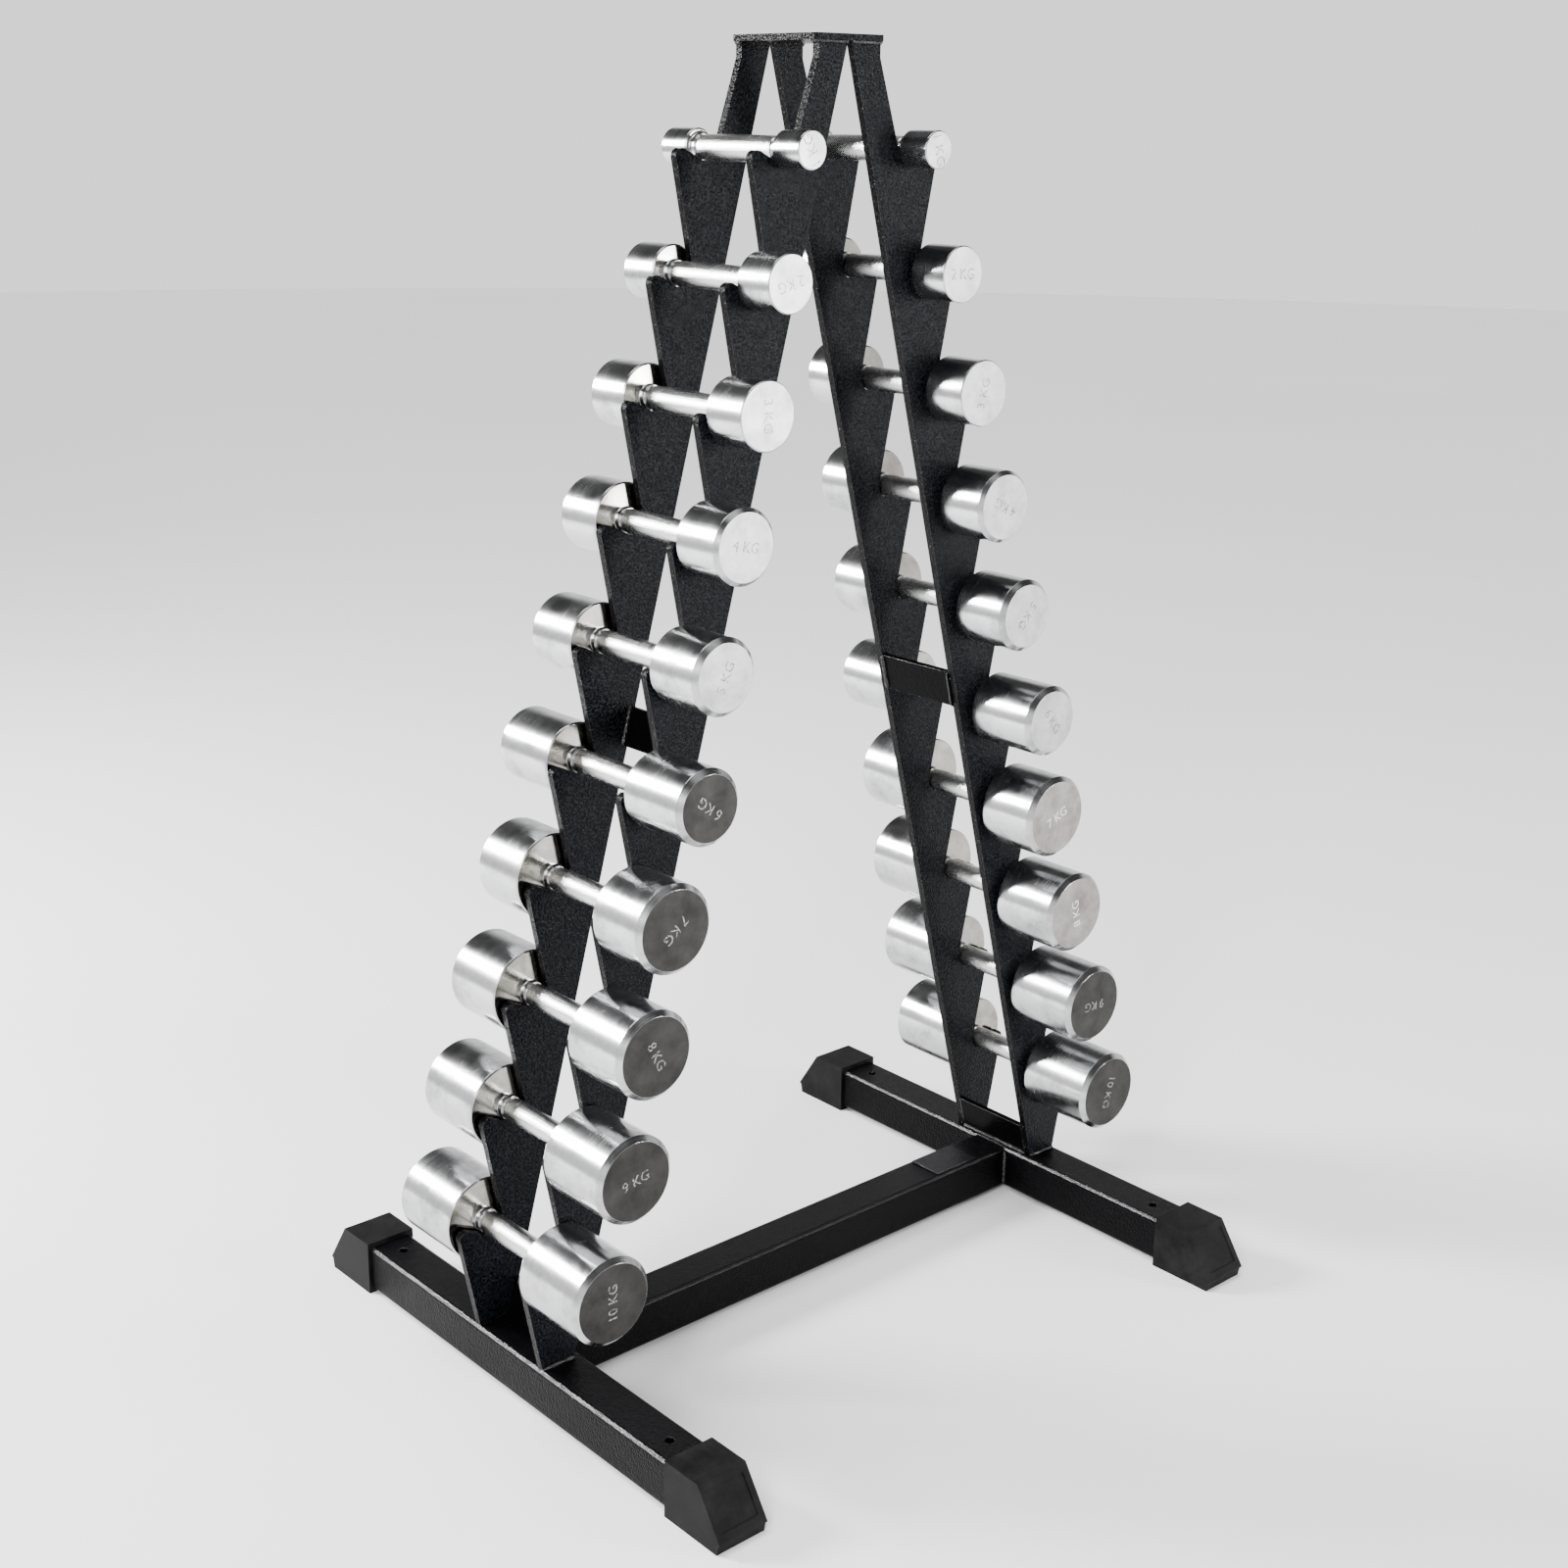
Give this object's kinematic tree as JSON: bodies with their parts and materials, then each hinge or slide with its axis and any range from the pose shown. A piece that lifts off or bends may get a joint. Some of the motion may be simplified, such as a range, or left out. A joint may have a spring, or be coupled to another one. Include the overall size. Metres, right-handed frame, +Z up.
{
  "type": "dumbbell rack",
  "caption": "A-frame steel rack with hooked side plates on rubber-capped square feet, holding pairs of one-piece dumbbells that lift off outward and up.",
  "frame": {"origin": "on the floor, under the middle of the rack", "axes": "+Z up; +X towards the right-hand tiers; +Y towards the back; the dumbbells lie along Y"},
  "size_m": [0.803, 0.667, 1.3],
  "materials": {
    "leg_coating": "fine-textured black powder coat",
    "tube_coating": "satin black powder coat",
    "strap_coating": "satin black powder coat",
    "weld_coating": "satin black over weld beads",
    "label_coating": "satin black",
    "cap_rubber": "matte",
    "bell_steel": "polished with satin end faces and a knurled grip"
  },
  "bodies": {
    "rack": {"top_plate": "strap_coating", "cross_tube": "tube_coating", "label_plate": "label_coating", "top_welds": "weld_coating", "strap_welds": "weld_coating", "foot_welds": "weld_coating", "leg_front_left": "leg_coating", "leg_rear_left": "leg_coating", "leg_front_right": "leg_coating", "leg_rear_right": "leg_coating", "end_cap_front_left": "cap_rubber", "end_cap_rear_left": "cap_rubber", "end_cap_front_right": "cap_rubber", "end_cap_rear_right": "cap_rubber", "foot_tube_left": "tube_coating", "foot_tube_right": "tube_coating", "mid_strap_left": "strap_coating", "mid_strap_right": "strap_coating", "base_strap_left": "strap_coating", "base_strap_right": "strap_coating"},
    "dumbbell_01kg_left": {"dumbbell_01kg_left": "bell_steel"},
    "dumbbell_01kg_right": {"dumbbell_01kg_right": "bell_steel"},
    "dumbbell_02kg_left": {"dumbbell_02kg_left": "bell_steel"},
    "dumbbell_02kg_right": {"dumbbell_02kg_right": "bell_steel"},
    "dumbbell_03kg_left": {"dumbbell_03kg_left": "bell_steel"},
    "dumbbell_03kg_right": {"dumbbell_03kg_right": "bell_steel"},
    "dumbbell_04kg_left": {"dumbbell_04kg_left": "bell_steel"},
    "dumbbell_04kg_right": {"dumbbell_04kg_right": "bell_steel"},
    "dumbbell_05kg_left": {"dumbbell_05kg_left": "bell_steel"},
    "dumbbell_05kg_right": {"dumbbell_05kg_right": "bell_steel"},
    "dumbbell_06kg_left": {"dumbbell_06kg_left": "bell_steel"},
    "dumbbell_06kg_right": {"dumbbell_06kg_right": "bell_steel"},
    "dumbbell_07kg_left": {"dumbbell_07kg_left": "bell_steel"},
    "dumbbell_07kg_right": {"dumbbell_07kg_right": "bell_steel"},
    "dumbbell_08kg_left": {"dumbbell_08kg_left": "bell_steel"},
    "dumbbell_08kg_right": {"dumbbell_08kg_right": "bell_steel"},
    "dumbbell_09kg_left": {"dumbbell_09kg_left": "bell_steel"},
    "dumbbell_09kg_right": {"dumbbell_09kg_right": "bell_steel"},
    "dumbbell_10kg_left": {"dumbbell_10kg_left": "bell_steel"},
    "dumbbell_10kg_right": {"dumbbell_10kg_right": "bell_steel"}
  },
  "joints": [
    {"name": "lift_01kg_left", "type": "slide", "parent": "rack", "child": "dumbbell_01kg_left", "axis": [-0.766, 0, 0.6428], "range_m": [0, 0.25]},
    {"name": "lift_01kg_right", "type": "slide", "parent": "rack", "child": "dumbbell_01kg_right", "axis": [0.766, 0, 0.6428], "range_m": [0, 0.25]},
    {"name": "lift_02kg_left", "type": "slide", "parent": "rack", "child": "dumbbell_02kg_left", "axis": [-0.766, 0, 0.6428], "range_m": [0, 0.25]},
    {"name": "lift_02kg_right", "type": "slide", "parent": "rack", "child": "dumbbell_02kg_right", "axis": [0.766, 0, 0.6428], "range_m": [0, 0.25]},
    {"name": "lift_03kg_left", "type": "slide", "parent": "rack", "child": "dumbbell_03kg_left", "axis": [-0.766, 0, 0.6428], "range_m": [0, 0.25]},
    {"name": "lift_03kg_right", "type": "slide", "parent": "rack", "child": "dumbbell_03kg_right", "axis": [0.766, 0, 0.6428], "range_m": [0, 0.25]},
    {"name": "lift_04kg_left", "type": "slide", "parent": "rack", "child": "dumbbell_04kg_left", "axis": [-0.766, 0, 0.6428], "range_m": [0, 0.25]},
    {"name": "lift_04kg_right", "type": "slide", "parent": "rack", "child": "dumbbell_04kg_right", "axis": [0.766, 0, 0.6428], "range_m": [0, 0.25]},
    {"name": "lift_05kg_left", "type": "slide", "parent": "rack", "child": "dumbbell_05kg_left", "axis": [-0.766, 0, 0.6428], "range_m": [0, 0.25]},
    {"name": "lift_05kg_right", "type": "slide", "parent": "rack", "child": "dumbbell_05kg_right", "axis": [0.766, 0, 0.6428], "range_m": [0, 0.25]},
    {"name": "lift_06kg_left", "type": "slide", "parent": "rack", "child": "dumbbell_06kg_left", "axis": [-0.766, 0, 0.6428], "range_m": [0, 0.25]},
    {"name": "lift_06kg_right", "type": "slide", "parent": "rack", "child": "dumbbell_06kg_right", "axis": [0.766, 0, 0.6428], "range_m": [0, 0.25]},
    {"name": "lift_07kg_left", "type": "slide", "parent": "rack", "child": "dumbbell_07kg_left", "axis": [-0.766, 0, 0.6428], "range_m": [0, 0.25]},
    {"name": "lift_07kg_right", "type": "slide", "parent": "rack", "child": "dumbbell_07kg_right", "axis": [0.766, 0, 0.6428], "range_m": [0, 0.25]},
    {"name": "lift_08kg_left", "type": "slide", "parent": "rack", "child": "dumbbell_08kg_left", "axis": [-0.766, 0, 0.6428], "range_m": [0, 0.25]},
    {"name": "lift_08kg_right", "type": "slide", "parent": "rack", "child": "dumbbell_08kg_right", "axis": [0.766, 0, 0.6428], "range_m": [0, 0.25]},
    {"name": "lift_09kg_left", "type": "slide", "parent": "rack", "child": "dumbbell_09kg_left", "axis": [-0.766, 0, 0.6428], "range_m": [0, 0.25]},
    {"name": "lift_09kg_right", "type": "slide", "parent": "rack", "child": "dumbbell_09kg_right", "axis": [0.766, 0, 0.6428], "range_m": [0, 0.25]},
    {"name": "lift_10kg_left", "type": "slide", "parent": "rack", "child": "dumbbell_10kg_left", "axis": [-0.766, 0, 0.6428], "range_m": [0, 0.25]},
    {"name": "lift_10kg_right", "type": "slide", "parent": "rack", "child": "dumbbell_10kg_right", "axis": [0.766, 0, 0.6428], "range_m": [0, 0.25]}
  ]
}
